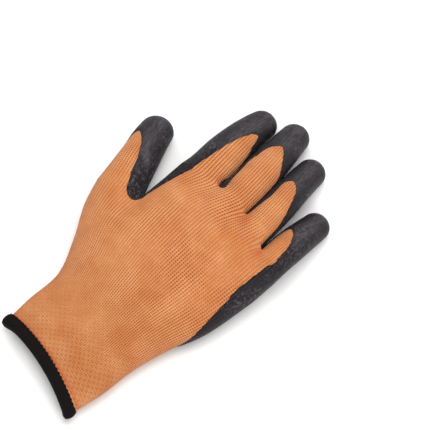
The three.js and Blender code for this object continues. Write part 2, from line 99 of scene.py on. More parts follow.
floor_mesh = bpy.data.meshes.new("floor")
floor_corners = [(x * FLOOR_REACH, y * FLOOR_REACH, 0) for x, y in ((-1, -1), (1, -1), (1, 1), (-1, 1))]
floor_mesh.from_pydata(floor_corners, [], [(0, 1, 2, 3)])
floor = bpy.data.objects.new("floor", floor_mesh)
bpy.context.scene.collection.objects.link(floor)
floor_paint = bpy.data.materials.new("pale_floor")
set_shader(floor_paint, {"Base Color": FLOOR_COLOUR, "Roughness": 0.9})
floor_mesh.materials.append(floor_paint)
floor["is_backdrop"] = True

# One row a lamp: its name, where it hangs, its side, its power and its colour
LAMPS = [
    ("overhead", (0.05, 0.15, 1.4), 0.9, 15.5, (1.0, 0.99, 0.98)),
    ("thumb_side", (-1.0, 0.5, 0.8), 0.5, 2.8, (0.96, 0.98, 1.0)),
    ("cuff_side", (0.95, -0.5, 1.0), 0.6, 6.0, (1.0, 0.99, 0.97)),
]
for lamp_name, lamp_place, lamp_side, lamp_power, lamp_colour in LAMPS:
    lamp_data = bpy.data.lights.new(lamp_name, "AREA")
    lamp_data.shape = "SQUARE"
    lamp_data.size = lamp_side
    lamp_data.energy = lamp_power
    lamp_data.color = lamp_colour
    lamp = bpy.data.objects.new(lamp_name, lamp_data)
    bpy.context.scene.collection.objects.link(lamp)
    lamp.location = lamp_place
    lamp.rotation_euler = turn_toward(-np.array(lamp_place))
room = bpy.data.worlds.new("soft_room")
room.use_nodes = True
room.node_tree.nodes["Background"].inputs["Color"].default_value = ROOM_COLOUR
room.node_tree.nodes["Background"].inputs["Strength"].default_value = ROOM_LIGHT
bpy.context.scene.world = room
bpy.context.scene.view_settings.view_transform = "Standard"

# Knitted liner: one seamless tube of orange polyester, knitted without a seam from the cuff through
# the hand into the thumb and the four fingers. Its surface is rings of an oval section in millimetres,
# joined side by side at the crotches and eased there, with a wall of yarn inside.
GLOVE_LENGTH = 220.0
HAND_WIDTH = 90.0
KNUCKLE_HEIGHT = 36.0
LENGTH_SCALE = np.array([HAND_WIDTH, GLOVE_LENGTH, KNUCKLE_HEIGHT])
KNIT_WALL = 1.6
COURSE = 1.3  # height of one row of loops
WALES_PER_STEP = 0.6  # columns of loops between two points of a ring
SEAM_STEPS = 5  # steps from the back of a finger down to the middle of the web beside it
ORIGIN = np.array([3.3608, 40.0545 - 146.5, 0.0])  # from the drawing's place to the part's own

# along: share of the length. slant: how far the little finger side lies behind the thumb side.
# bow, under: how far the middle of the back and of the underside is drawn toward the fingers.
# middle, half: shares of the hand width. centre, top, bottom: shares of the knuckle height.
WRIST_SECTIONS = [
    dict(along=0.0225, slant=0.063, bow=0.018, under=0.042, middle=-0.031, half=0.359,
         centre=0.26, top=0.23, bottom=0.2, power=2.3),
    dict(along=0.12, slant=0.05, bow=0.01, under=0.012, middle=0.0, half=0.388,
         centre=0.31, top=0.31, bottom=0.36, power=2.3),
    dict(along=0.22, slant=0.05, bow=0, under=0, middle=0.018, half=0.396,
         centre=0.33, top=0.36, bottom=0.38, power=2.3),
    dict(along=0.32, slant=0.04, bow=0, under=0, middle=0.002, half=0.478,
         centre=0.36, top=0.43, bottom=0.38, power=2.3),
    dict(along=0.415, slant=0.03, bow=0, under=0, middle=-0.016, half=0.585,
         centre=0.38, top=0.50, bottom=0.36, power=2.2),
]
THUMB_ROOT = dict(along=0.512, across=-0.504, half=0.155, centre=0.43, top=0.36, bottom=0.33, power=2.0,
                  yaw=-14)
PALM_ROOT = dict(along=0.5367, across=0.138, half=0.492, centre=0.46, top=0.50, bottom=0.30, power=2.3,
                 yaw=0)
PALM_MIDDLE = dict(along=0.6073, across=0.151, half=0.49, centre=0.5, top=0.50, bottom=0.30, power=2.4,
                   yaw=0)

# One row a finger, from the index finger on, the thumb last. along, across, height: centre of the root,
# and with tip_ of the tip, as above. yaw, pitch: headings there, in degrees. root, near, mid, tip: half
# widths, and deep: half heights, as shares of the hand width. columns: patches of the skin over its back,
# rows: patches along it, each SEAM_STEPS steps.
THUMB = 4
FINGERS = [
    dict(along=0.674, across=-0.156, height=0.71, tip_along=0.9234, tip_across=-0.199, tip_height=0.25,
         yaw=-5, tip_yaw=1, pitch=8, tip_pitch=30, root=0.155, near=0.139, mid=0.131, tip=0.092,
         deep=0.099, tip_deep=0.085, columns=4, rows=7),
    dict(along=0.6897, across=0.102, height=0.75, tip_along=0.9568, tip_across=0.015, tip_height=0.25,
         yaw=-1, tip_yaw=-12, pitch=8, tip_pitch=32, root=0.125, near=0.123, mid=0.117, tip=0.091,
         deep=0.1, tip_deep=0.086, columns=4, rows=7),
    dict(along=0.6809, across=0.332, height=0.72, tip_along=0.9156, tip_across=0.262, tip_height=0.25,
         yaw=-1, tip_yaw=-8, pitch=8, tip_pitch=32, root=0.11, near=0.105, mid=0.101, tip=0.088,
         deep=0.096, tip_deep=0.083, columns=4, rows=7),
    dict(along=0.6416, across=0.545, height=0.62, tip_along=0.8154, tip_across=0.54, tip_height=0.24,
         yaw=1, tip_yaw=-2, pitch=8, tip_pitch=28, root=0.108, near=0.105, mid=0.101, tip=0.087,
         deep=0.09, tip_deep=0.08, columns=4, rows=7),
    dict(along=0.512, across=-0.504, height=0.43, tip_along=0.7102, tip_across=-0.643, tip_height=0.31,
         yaw=-14, tip_yaw=-16, pitch=2, tip_pitch=22, root=0.155, near=0.149, mid=0.133, tip=0.105,
         deep=0.118, tip_deep=0.092, columns=5, rows=5),
]
NEAR_ROOT = 0.14  # share of a finger's length at which near is measured
MID_FINGER = 0.42  # share at which mid is measured
FINGER_POWER = 2.1  # power of a finger's oval
DOME_POWER_LOSS = 0.1  # what the power loses over the first part of the tip's dome
DOME_POWER_PACE = 4  # that part is one over this


def smoothstep(value, low, high):
    """3t^2 - 2t^3, where t runs from 0 at low to 1 at high."""
    t = np.clip((value - low) / (high - low), 0, 1)
    return t * t * (3 - 2 * t)


def read_table(rows, place, column, key):
    """A table's column at places between its rows: cubic Hermite pieces, each row's slope taken from the
    line between its two neighbours."""
    keys = np.array([row[key] for row in rows], float)
    values = np.array([row[column] for row in rows], float)
    last = len(keys) - 1
    i = np.clip(np.searchsorted(keys, place) - 1, 0, last - 1)
    span = keys[i + 1] - keys[i]
    t = np.clip((place - keys[i]) / span, 0, 1)

    def slope(k):
        """Rise over the span that place lies in, at row k."""
        low, high = np.clip(k - 1, 0, last), np.clip(k + 1, 0, last)
        return (values[high] - values[low]) / (keys[high] - keys[low]) * span

    return (
        (2 * t**3 - 3 * t**2 + 1) * values[i] + (t**3 - 2 * t**2 + t) * slope(i)
        + (3 * t**2 - 2 * t**3) * values[i + 1] + (t**3 - t**2) * slope(i + 1)
    )


def oval(half, top, bottom, power, steps):
    """One closed oval from its left end over the back and under the palm: x = half |cos a|^(2/power),
    z = rise |sin a|^(2/power), both with their signs, at equal steps along the curve. rise is top over the
    back and bottom under the palm. Returns the x and z of 2 * steps points."""
    angle = np.pi * (1 - np.linspace(0, 1, 361))
    x = half * np.sign(np.cos(angle)) * np.abs(np.cos(angle)) ** (2 / power)
    parts = []
    for rise in (top, -bottom):
        z = rise * np.abs(np.sin(angle)) ** (2 / power)
        run = np.concatenate([[0], np.cumsum(np.hypot(np.diff(x), np.diff(z)))])
        even = np.linspace(0, run[-1], steps + 1)
        parts.append(np.stack([np.interp(even, run, x), np.interp(even, run, z)], 1))
    return np.concatenate([parts[0], parts[1][-2:0:-1]])


def section_oval(row, steps):
    """The oval of a row of sizes, in millimetres: half is a share of the hand width, top and bottom of the
    knuckle height."""
    rises = (row["top"] * KNUCKLE_HEIGHT, row["bottom"] * KNUCKLE_HEIGHT)
    return oval(row["half"] * HAND_WIDTH, *rises, row["power"], steps).T


def wrist_ring(row, steps):
    """An oval across the wrist. Its little finger side is drawn back by slant, and the middles of its back
    and underside forward by bow and under times 1 - f^2, where f runs from -1 to 1 across it."""
    x, z = section_oval(row, steps)
    f = x / (row["half"] * HAND_WIDTH)
    rise = np.where(z > 0, row["bow"], row["under"]) * GLOVE_LENGTH
    y = row["along"] * GLOVE_LENGTH - row["slant"] * GLOVE_LENGTH * f / 2 + rise * (1 - f * f)
    return np.stack([x + row["middle"] * HAND_WIDTH, y, z + row["centre"] * KNUCKLE_HEIGHT], 1)


def hand_ring(row, steps):
    """An upright oval across the palm or the thumb's root, turned about the vertical by yaw."""
    x, z = section_oval(row, steps)
    yaw = np.radians(row["yaw"])
    centre = np.array([row["across"], row["along"], row["centre"]]) * LENGTH_SCALE
    return centre + np.stack([x * np.cos(yaw), -x * np.sin(yaw), z], 1)


def heading(yaw, pitch):
    """Direction from the cuff to the fingertips, turned sideways by yaw and down by pitch, in degrees."""
    a, b = np.radians(yaw), np.radians(pitch)
    return np.array([np.sin(a) * np.cos(b), np.cos(a) * np.cos(b), -np.sin(b)])


def finger_axis(finger, t):
    """Centre, heading, sideways and upward directions of a finger at shares t of its length: a cubic Bezier
    curve whose two inner points lie a third of the finger along the headings at its ends."""
    root = np.array([finger["across"], finger["along"], finger["height"]]) * LENGTH_SCALE
    tip = np.array([finger["tip_across"], finger["tip_along"], finger["tip_height"]]) * LENGTH_SCALE
    reach = np.linalg.norm(tip - root) / 3
    start = root + heading(finger["yaw"], finger["pitch"]) * reach
    end = tip - heading(finger["tip_yaw"], finger["tip_pitch"]) * reach
    t = np.asarray(t, float)[..., None]
    centre = (1 - t) ** 3 * root + 3 * (1 - t) ** 2 * t * start + 3 * (1 - t) * t**2 * end + t**3 * tip
    ahead = (1 - t) ** 2 * (start - root) + 2 * (1 - t) * t * (end - start) + t**2 * (tip - end)
    ahead = ahead / np.linalg.norm(ahead, axis=-1, keepdims=True)
    across = np.cross(ahead, [0.0, 0.0, 1.0])
    across = across / np.linalg.norm(across, axis=-1, keepdims=True)
    return centre, ahead, across, np.cross(across, ahead)


def finger_size(finger, t):
    """Half width and half height of a finger at shares t of its length, read between the sizes of its row."""
    rows = [
        dict(at=0, half=finger["root"], deep=finger["deep"]),
        dict(at=NEAR_ROOT, half=finger["near"], deep=finger["deep"]),
        dict(at=MID_FINGER, half=finger["mid"], deep=finger["deep"]),
        dict(at=1, half=finger["tip"], deep=finger["tip_deep"]),
    ]
    return read_table(rows, t, "half", "at") * HAND_WIDTH, read_table(rows, t, "deep", "at") * HAND_WIDTH


def finger_rings(finger, t, past):
    """Rings of a finger: ovals square to its axis, then past the end of the axis a dome, whose rings shrink
    with the cosine and move on with the sine of a quarter turn times past."""
    centre, ahead, across, up = finger_axis(finger, t)
    half, deep = finger_size(finger, t)
    turn = past * np.pi / 2
    power = FINGER_POWER - DOME_POWER_LOSS * np.minimum(past * DOME_POWER_PACE, 1)
    steps = (finger["columns"] + 2) * SEAM_STEPS
    loops = np.stack([
        oval(h * np.cos(a), d * np.cos(a), d * np.cos(a), p, steps)
        for h, d, a, p in zip(half, deep, turn, power)
    ])
    centre = centre + ahead * ((half + deep) / 2 * np.sin(turn))[:, None]
    return centre[:, None] + loops[..., :1] * across[:, None] + loops[..., 1:] * up[:, None]


def join_ovals(loops):
    """Ovals side by side are given a shared run of points where they meet, each the middle of the two.
    Returns the outline round them all: from the left end of the first over the backs to the right end of
    the last, and back underneath."""
    for left, right in zip(loops, loops[1:]):
        a = np.arange(len(left) // 2 - SEAM_STEPS, len(left) // 2 + SEAM_STEPS + 1)
        b = (SEAM_STEPS - np.arange(2 * SEAM_STEPS + 1)) % len(right)
        left[a] = right[b] = (left[a] + right[b]) / 2
    over, under = [], []
    for number, points in enumerate(loops):
        half = len(points) // 2
        is_last = number == len(loops) - 1
        left_skip = SEAM_STEPS if number > 0 else 0
        over_end = half + 1 if is_last else half - SEAM_STEPS
        under_start = half + 1 if is_last else half + SEAM_STEPS
        over.append(points[left_skip:over_end])
        under.append(points[under_start : 2 * half - left_skip])
    return np.concatenate(over + under[::-1])


def rings_through(keys, place):
    """Rings at places 0..n-1 through n key rings: each point follows its own centripetal Catmull-Rom curve,
    whose slopes weigh the steps between keys by the square roots of their lengths."""
    keys = np.stack(keys)
    keys = np.concatenate([2 * keys[:1] - keys[1:2], keys, 2 * keys[-1:] - keys[-2:-1]])
    i = np.clip(np.floor(place).astype(int), 0, len(keys) - 4)
    t = (place - i)[:, None, None]
    p0, p1, p2, p3 = (keys[i + k] for k in range(4))
    d0, d1, d2 = (
        np.maximum(np.linalg.norm(b - a, axis=-1, keepdims=True), 1e-6) ** 0.5
        for a, b in ((p0, p1), (p1, p2), (p2, p3))
    )
    m1 = ((p1 - p0) / d0 - (p2 - p0) / (d0 + d1) + (p2 - p1) / d1) * d1
    m2 = ((p2 - p1) / d1 - (p3 - p1) / (d1 + d2) + (p3 - p2) / d2) * d1
    return (
        (2 * t**3 - 3 * t**2 + 1) * p1 + (t**3 - 2 * t**2 + t) * m1
        + (3 * t**2 - 2 * t**3) * p2 + (t**3 - t**2) * m2
    )


# Half rounds of the rings, in steps: the webs at the sides of a finger or of the hand count two columns
THUMB_STEPS = (FINGERS[THUMB]["columns"] + 2) * SEAM_STEPS
PALM_STEPS = (sum(finger["columns"] for finger in FINGERS[:THUMB]) + 2) * SEAM_STEPS
WRIST_STEPS = THUMB_STEPS + PALM_STEPS - 2 * SEAM_STEPS
WRIST_RINGS = 84
PALM_RINGS = 24
DOME_RINGS = 13
DOME_END = 0.965  # the dome stops just short of its pole, where a small cap closes it
thumb_root = hand_ring(THUMB_ROOT, THUMB_STEPS)
palm_root = hand_ring(PALM_ROOT, PALM_STEPS)
split_ring = join_ovals([thumb_root, palm_root])
knuckle_loops = [finger_rings(finger, np.zeros(1), np.zeros(1))[0] for finger in FINGERS[:THUMB]]
knuckle_ring = join_ovals(knuckle_loops)
wrist_keys = [wrist_ring(row, WRIST_STEPS) for row in WRIST_SECTIONS] + [split_ring]
palm_keys = [palm_root, hand_ring(PALM_MIDDLE, PALM_STEPS), knuckle_ring]
wrist_rows = rings_through(wrist_keys, np.linspace(0, len(wrist_keys) - 1, WRIST_RINGS))
palm_rows = rings_through(palm_keys, np.linspace(0, len(palm_keys) - 1, PALM_RINGS))

# Tubes of the skin: the wrist, the palm and the five fingers, each finger with the shares of its length
# and how far its rings lie past its end
wrist_tube = dict(rings=wrist_rows)
palm_tube = dict(rings=palm_rows)
finger_tubes = []
for number, finger in enumerate(FINGERS):
    steps = finger["rows"] * SEAM_STEPS + 1
    t = np.concatenate([np.linspace(0, 1, steps), np.ones(DOME_RINGS)])
    past = np.concatenate([np.zeros(steps), np.linspace(0, 1, DOME_RINGS + 1)[1:] * DOME_END])
    rings = finger_rings(finger, t, past)
    rings[0] = thumb_root if number == THUMB else knuckle_loops[number]
    finger_tubes.append(dict(rings=rings, t=t, past=past))
tubes = [wrist_tube, palm_tube] + finger_tubes


def ring_run(rings):
    """How far each ring lies from the first, as the mean length walked by its points."""
    return np.concatenate([[0], np.cumsum(np.linalg.norm(np.diff(rings, axis=0), axis=2).mean(1))])


# Courses of the knit run on from tube to tube: a whole number lies in the wrist and in the palm
split_course = np.round(ring_run(wrist_rows)[-1] / COURSE)
knuckle_course = split_course + np.round(ring_run(palm_rows)[-1] / COURSE)
wrist_run = ring_run(wrist_rows) / COURSE
palm_run = ring_run(palm_rows) / COURSE
wrist_tube["courses"] = wrist_run * split_course / wrist_run[-1]
palm_tube["courses"] = split_course + palm_run * (knuckle_course - split_course) / palm_run[-1]
for number, tube in enumerate(finger_tubes):
    start_course = split_course if number == THUMB else knuckle_course
    tube["courses"] = start_course + ring_run(tube["rings"]) / COURSE


def tube_faces(ids, wales, courses):
    """Quads between the rings of a tube, and for each corner its place in the knit: the wale across and the
    course along."""
    beside = np.roll(ids, -1, 1)
    faces = np.stack([ids[:-1], beside[:-1], beside[1:], ids[1:]], -1).reshape(-1, 4)
    u0, v0 = np.meshgrid(wales[:-1], courses[:-1])
    u1, v1 = np.meshgrid(wales[1:], courses[1:])
    return faces, np.stack([u0, v0, u1, v0, u1, v1, u0, v1], -1).reshape(-1, 4, 2)


def cap_faces(end, wales, course):
    """Quads across the last ring of a fingertip, each from two points of its back to the two under them, and
    their corners' places in the knit, half a course deep."""
    half = len(end) // 2
    j = np.arange(half - 1)
    faces = np.stack([end[j], end[j + 1], end[2 * half - 2 - j], end[2 * half - 1 - j]], -1)
    near, far = np.full(half - 1, course), np.full(half - 1, course + 0.5)
    corners = [wales[j], near, wales[j + 1], near, wales[j + 1], far, wales[j], far]
    return faces, np.stack(corners, -1).reshape(-1, 4, 2)


# Faces of the tubes and caps, and the points that two tubes share made one
skin_points, skin_faces, skin_uv, offset = [], [], [], 0
for tube in tubes:
    rows, columns = tube["rings"].shape[:2]
    tube["ids"] = offset + np.arange(rows * columns).reshape(rows, columns)
    wales = np.arange(columns + 1) * WALES_PER_STEP
    parts = [tube_faces(tube["ids"], wales, tube["courses"])]
    if "past" in tube:
        parts.append(cap_faces(tube["ids"][-1], wales, tube["courses"][-1]))
    skin_faces += [faces for faces, _ in parts]
    skin_uv += [uv for _, uv in parts]
    skin_points.append(tube["rings"].reshape(-1, 3))
    offset += rows * columns
skin_points, skin_faces, skin_uv = (np.concatenate(part) for part in (skin_points, skin_faces, skin_uv))
_, kept, merged = np.unique(np.round(skin_points, 5), axis=0, return_index=True, return_inverse=True)
skin = skin_points[kept]
merged = merged.reshape(-1)
skin_faces = merged[skin_faces]
for tube in tubes:
    tube["ids"] = merged[tube["ids"]]

# The webs lie on the little finger's side of the index, middle and ring fingers' roots and on the palm's
# side of the thumb's, from the back down to the underside. The middle point of each is its crotch.
web_ids = []
for number in (0, 1, 2, THUMB):
    root_ids = finger_tubes[number]["ids"][0]
    web_ids.append(root_ids[len(root_ids) // 2 - SEAM_STEPS + np.arange(2 * SEAM_STEPS + 1)])
crotch_ids = [ids[SEAM_STEPS] for ids in web_ids]


def skin_mean(values):
    """Mean of a value over the neighbours of each point of the skin, along the edges of its faces."""
    total, count = np.zeros_like(values), np.zeros(len(values))
    for k in range(4):
        a, b = skin_faces[:, k], skin_faces[:, (k + 1) % 4]
        for at, of in ((a, b), (b, a)):
            for axis in range(values.shape[1]):
                total[:, axis] += np.bincount(at, values[of, axis], len(values))
            count += np.bincount(at, minlength=len(values))
    return total / np.maximum(count, 1)[:, None]


def skin_normals(points):
    """Outward direction at each point of the skin: the mean of the faces round it, weighted by area."""
    a, b, c, d = (points[skin_faces[:, k]] for k in range(4))
    face = np.cross(c - a, d - b)
    normal = np.zeros_like(points)
    for k in range(4):
        for axis in range(3):
            normal[:, axis] += np.bincount(skin_faces[:, k], face[:, axis], len(points))
    return normal / np.linalg.norm(normal, axis=1, keepdims=True)


# Knitting has no sharp corners: the skin is eased round the crotches
EASING_ROUNDS = 24
EASING_REACH = 0.24 * HAND_WIDTH
EASING_PULL = 0.5
crotches = skin[crotch_ids]
for _ in range(EASING_ROUNDS):
    near = np.min(np.linalg.norm(skin[:, None] - crotches, axis=2), axis=1)
    weight = EASING_PULL * np.maximum(0, 1 - near / EASING_REACH)[:, None]
    skin = skin + (skin_mean(skin) - skin) * weight

# Wear has pulled the crotches at both sides of the ring finger well down into the hand, and the one
# beside the index finger stands a little forward. The thumb's stays.
CROTCH_PULLS = (-0.6, 4.0, 4.6, 0.0)
PULL_SHAPE = (1.0, 0.62, 0.55)
PULL_REACH = 4.2
for crotch, how_much in zip(crotch_ids, CROTCH_PULLS):
    away = np.linalg.norm((skin - skin[crotch]) * PULL_SHAPE, axis=1)
    skin[:, 1] -= how_much * np.exp(-((away / PULL_REACH) ** 2))

# The index and ring fingers have parted a little from the next: a push away from just past the crotch
CROTCH_GAPS = ((0, 0.9), (2, 0.4))
GAP_CENTRE = (0.6, 1.8)
GAP_REACH = 3.0
for number, gap in CROTCH_GAPS:
    away = skin[:, :2] - skin[crotch_ids[number], :2] - GAP_CENTRE
    skin[:, :2] += gap * away * np.exp(-((away**2).sum(1) / GAP_REACH**2))[:, None]

# Folds of the thumb: a row gives the middle, the direction from the thumb side in degrees, the length,
# the width and the depth. Each is a groove with a low bulge on either side, on the part that faces up:
# d = depth * (1 - (r / width)^2) * exp(-(r / width)^2)
FOLDS = [
    dict(place=(-46.5, 134.6), turn=-32, length=8.0, width=2.8, depth=1.9),
    dict(place=(-44.5, 126.5), turn=-20, length=6.0, width=2.2, depth=0.5),
    dict(place=(-55.5, 152.5), turn=-24, length=6.5, width=1.3, depth=0.22),
    dict(place=(-54.5, 148.5), turn=-26, length=6.5, width=1.4, depth=0.2),
]
folded = skin_normals(skin)
facing_up = smoothstep(folded[:, 2], 0.1, 0.5)
for fold in FOLDS:
    turn = np.radians(fold["turn"])
    off = skin[:, :2] - fold["place"]
    on = (off @ [np.cos(turn), np.sin(turn)]) / fold["length"]
    aside = (off @ [-np.sin(turn), np.cos(turn)]) / fold["width"]
    dip = fold["depth"] * (1 - aside**2) * np.exp(-(aside**2)) * np.exp(-(on**2)) * facing_up
    skin = skin - folded * dip[:, None]

# The glove lies on the floor, and its underside is pressed flat there: the height h above the level at
# which the binding or the coating holds the knit becomes (h + sqrt(h^2 + softness^2)) / 2
COAT_HEIGHT = 0.75
BINDING_HEIGHT = 2.2
HEEL = 0.325 * GLOVE_LENGTH
BINDING_HOLDS = (0.1 * GLOVE_LENGTH, 0.17 * GLOVE_LENGTH)
COAT_HOLDS = (HEEL - 0.095 * GLOVE_LENGTH, HEEL - 0.045 * GLOVE_LENGTH)
PRESS_SOFTNESS = 0.6
rest = BINDING_HEIGHT * (1 - smoothstep(skin[:, 1], *BINDING_HOLDS))
rest += COAT_HEIGHT * smoothstep(skin[:, 1], *COAT_HOLDS)
above = skin[:, 2] - rest
skin[:, 2] = rest + (above + np.sqrt(above**2 + PRESS_SOFTNESS**2)) / 2

# The inner wall follows directions that are eased, so that it doesn't fold in the crotches
INNER_EASING_ROUNDS = 12
normals = skin_normals(skin)
soft_normals = normals
for _ in range(INNER_EASING_ROUNDS):
    soft_normals = soft_normals + skin_mean(soft_normals)
    soft_normals /= np.linalg.norm(soft_normals, axis=1, keepdims=True)

# Painted shade, darker and redder, on the hand side of the crotches, on faces that look up: a row gives
# where, beside each crotch, and how much. A line of the same painted shade runs round the cuff at the foot of
# the binding's roll.
CROTCH_SHADES = [(-1.6, 1.2, 0.7), (3.4, -2.7, 0.95), (3.2, -4.4, 0.95), (0.0, 0.0, 0.0)]
CROTCH_SHADE_REACH = (2.1, 2.8)
HEM_SHADE = 0.8
HEM_SHADE_PLACE = 7.0
HEM_SHADE_WIDTH = 0.8
crevice_shade = np.zeros(len(skin))
for crotch, (shade_x, shade_y, how_much) in zip(crotch_ids, CROTCH_SHADES):
    off = (skin[:, :2] - skin[crotch, :2] - [shade_x, shade_y]) / CROTCH_SHADE_REACH
    crevice_shade = np.maximum(crevice_shade, how_much * np.exp(-(off**2).sum(1)) * smoothstep(normals[:, 2], 0.0, 0.4))
wrist_from_hem = (wrist_tube["courses"] * COURSE)[:, None]
hem_line_shade = HEM_SHADE * np.exp(-(((wrist_from_hem - HEM_SHADE_PLACE) / HEM_SHADE_WIDTH) ** 2))
crevice_shade[wrist_tube["ids"]] = np.maximum(crevice_shade[wrist_tube["ids"]], hem_line_shade)


def add_piece(name, points, faces, uv=None, marks=None):
    """A smooth mesh object named name from points in the drawing's millimetres, faces, a UV pair a corner and
    named values a point, set down at the part's own place in metres."""
    mesh = bpy.data.meshes.new(name)
    mesh.from_pydata(((points + ORIGIN) / 1000.0).tolist(), [], faces.tolist())
    mesh.polygons.foreach_set("use_smooth", np.ones(len(mesh.polygons), bool))
    if uv is not None:
        mesh.uv_layers.new(name="stitches").data.foreach_set("uv", np.asarray(uv, np.float32).reshape(-1))
    for mark, values in (marks or {}).items():
        mesh.attributes.new(mark, "FLOAT", "POINT").data.foreach_set("value", np.asarray(values, np.float32))
    piece = bpy.data.objects.new(name, mesh)
    bpy.context.scene.collection.objects.link(piece)
    return piece


# Outer wall, inner wall turned inside out, and a band of faces that joins them at the cuff's end
hem_ids = wrist_tube["ids"][0]
hem_next = np.roll(hem_ids, -1)
inner_faces = skin_faces[:, ::-1] + len(skin)
hem_faces = np.stack([hem_next, hem_ids, hem_ids + len(skin), hem_next + len(skin)], -1)
hem_uv = np.zeros((len(hem_faces), 4, 2))
liner = add_piece(
    "knit_liner_looks",
    np.concatenate([skin, skin - KNIT_WALL * soft_normals]),
    np.concatenate([skin_faces, inner_faces, hem_faces]),
    np.concatenate([skin_uv, skin_uv[:, ::-1], hem_uv]),
    {"crevice_shade": np.concatenate([crevice_shade, crevice_shade])},
)


def node_maker(tree):
    """Returns make(kind, inputs, output, **settings), which adds a node to the tree, feeds its inputs and
    gives the output asked for, the first if none is."""

    def make(kind, inputs=(), output=0, **settings):
        """Adds one node. inputs holds sockets and values, in order or by name or number."""
        step = tree.nodes.new(kind)
        for setting, value in settings.items():
            setattr(step, setting, value)
        for key, value in (inputs.items() if isinstance(inputs, dict) else enumerate(inputs)):
            if isinstance(value, bpy.types.NodeSocket):
                tree.links.new(value, step.inputs[key])
            else:
                step.inputs[key].default_value = value
        return step.outputs[output]

    return make


def math(make, operation, *values):
    """One arithmetic node."""
    return make("ShaderNodeMath", values, operation=operation)


def remap(make, value, start, end, low=0.0, high=1.0, smooth=False):
    """low up to start, high from end on, and between them a straight line, or a smooth step."""
    kind = "SMOOTHSTEP" if smooth else "LINEAR"
    return make("ShaderNodeMapRange", (value, start, end, low, high), interpolation_type=kind)


def mix_colours(make, share, first, second):
    """The first colour at share 0, the second at 1."""
    return make("ShaderNodeMix", {0: share, 6: first, 7: second}, output=2, data_type="RGBA")


def object_place(make):
    """Where a point lies in the part's own metres."""
    return make("ShaderNodeTexCoord", output=3)


def point_value(make, mark):
    """A named value of the mesh's points."""
    return make("ShaderNodeAttribute", output=2, attribute_name=mark)


def stitch_group():
    """Group that turns stitch coordinates u, v (wales across, courses along) into one knitted loop. With s
    the distance from the middle of the wale, its two slanted legs are as high as
    0.5 + 0.5 cos(2 pi (v - slant s)), less in the middle and less toward the furrow between wales. Furrow
    is how much painted shade the furrow gets, with a dot for each course. On the gathered cuff the furrows
    close and leave a lattice of pits, darkened with painted shade too, cos(pi u') cos(pi v'), where u'
    counts 80 round the wrist and v' one for 1.3 courses."""
    leg_slant = 1.3
    lattice_u = np.pi * 80 / (2 * WRIST_STEPS * WALES_PER_STEP)
    lattice_v = np.pi / 1.3
    furrow_closing = -0.42
    # How dark the painted shade in the cuff's pits gets
    pit_shade = 0.24
    group = bpy.data.node_groups.new("knitted_loops", "ShaderNodeTree")
    group.interface.new_socket("Stitches", in_out="INPUT", socket_type="NodeSocketVector")
    group.interface.new_socket("Gathered", in_out="INPUT", socket_type="NodeSocketFloat")
    for name in ("Height", "Furrow", "Loop"):
        group.interface.new_socket(name, in_out="OUTPUT", socket_type="NodeSocketFloat")
    make = node_maker(group)
    start, end = group.nodes.new("NodeGroupInput"), group.nodes.new("NodeGroupOutput")
    gathered = start.outputs["Gathered"]
    split = make("ShaderNodeSeparateXYZ", (start.outputs["Stitches"],)).node
    u, v = split.outputs[0], split.outputs[1]
    side = math(make, "ABSOLUTE", math(make, "SUBTRACT", math(make, "FRACT", u), 0.5))
    slanted = math(make, "SUBTRACT", v, math(make, "MULTIPLY", side, leg_slant))
    leg = math(make, "MULTIPLY", slanted, 2 * np.pi)
    strand = math(make, "MULTIPLY_ADD", math(make, "COSINE", leg), 0.5, 0.5)
    edge = remap(make, side, start=0.2, end=0.43, smooth=True)
    heart = remap(make, side, start=0.0, end=0.12, low=0.55, smooth=True)
    body = math(make, "MULTIPLY", math(make, "MULTIPLY_ADD", strand, 0.55, 0.45), heart)
    height = math(make, "MULTIPLY", body, math(make, "SUBTRACT", 1.0, edge))
    course_turn = math(make, "MULTIPLY", v, 2 * np.pi)
    dots = math(make, "MULTIPLY_ADD", math(make, "COSINE", course_turn), 0.42, 0.58)
    loop_number = make("ShaderNodeCombineXYZ", (math(make, "FLOOR", u), math(make, "FLOOR", v), 0.0))
    loop = make("ShaderNodeTexWhiteNoise", (loop_number,), noise_dimensions="3D")
    across = math(make, "COSINE", math(make, "MULTIPLY", u, lattice_u))
    along = math(make, "COSINE", math(make, "MULTIPLY", v, lattice_v))
    pits = remap(make, math(make, "MULTIPLY", across, along), start=0.0, end=0.9, high=pit_shade, smooth=True)
    closing = math(make, "MULTIPLY_ADD", gathered, furrow_closing, 1.0)
    furrow = math(make, "MULTIPLY", math(make, "MULTIPLY", edge, dots), closing)
    furrow = math(make, "ADD", furrow, math(make, "MULTIPLY", pits, gathered))
    group.links.new(height, end.inputs["Height"])
    group.links.new(furrow, end.inputs["Furrow"])
    group.links.new(loop, end.inputs["Loop"])
    return group


YARN = (0.57, 0.202, 0.063, 1)
YARN_LIGHT = (0.69, 0.30, 0.12, 1)
# The next colour is painted shade for the furrows between the wales and for the cuff's pits
FURROW_SHADE = (0.17, 0.014, 0.003, 1)
# The next colour is the painted shade of the crotches and of the binding's foot, darker and redder than the
# yarn
SHADED_YARN = (0.62, 0.11, 0.03, 1)
CUFF_GATHERS = (-0.085, -0.045)  # the gathering ends between these places along the glove, in metres
knitted_loops = stitch_group()
knit = bpy.data.materials.new("orange_knit")
knit.use_nodes = True
make = node_maker(knit.node_tree)
place = object_place(make)
along_glove = make("ShaderNodeSeparateXYZ", (place,), output=1)
gathered = remap(make, along_glove, *CUFF_GATHERS, low=1.0, high=0.0, smooth=True)
stitches = make("ShaderNodeUVMap", uv_map="stitches")
loops = make("ShaderNodeGroup", {"Stitches": stitches, "Gathered": gathered}, node_tree=knitted_loops).node
cloud = make("ShaderNodeTexNoise", {"Vector": place, "Scale": 55.0, "Detail": 3.0, "Roughness": 0.6})
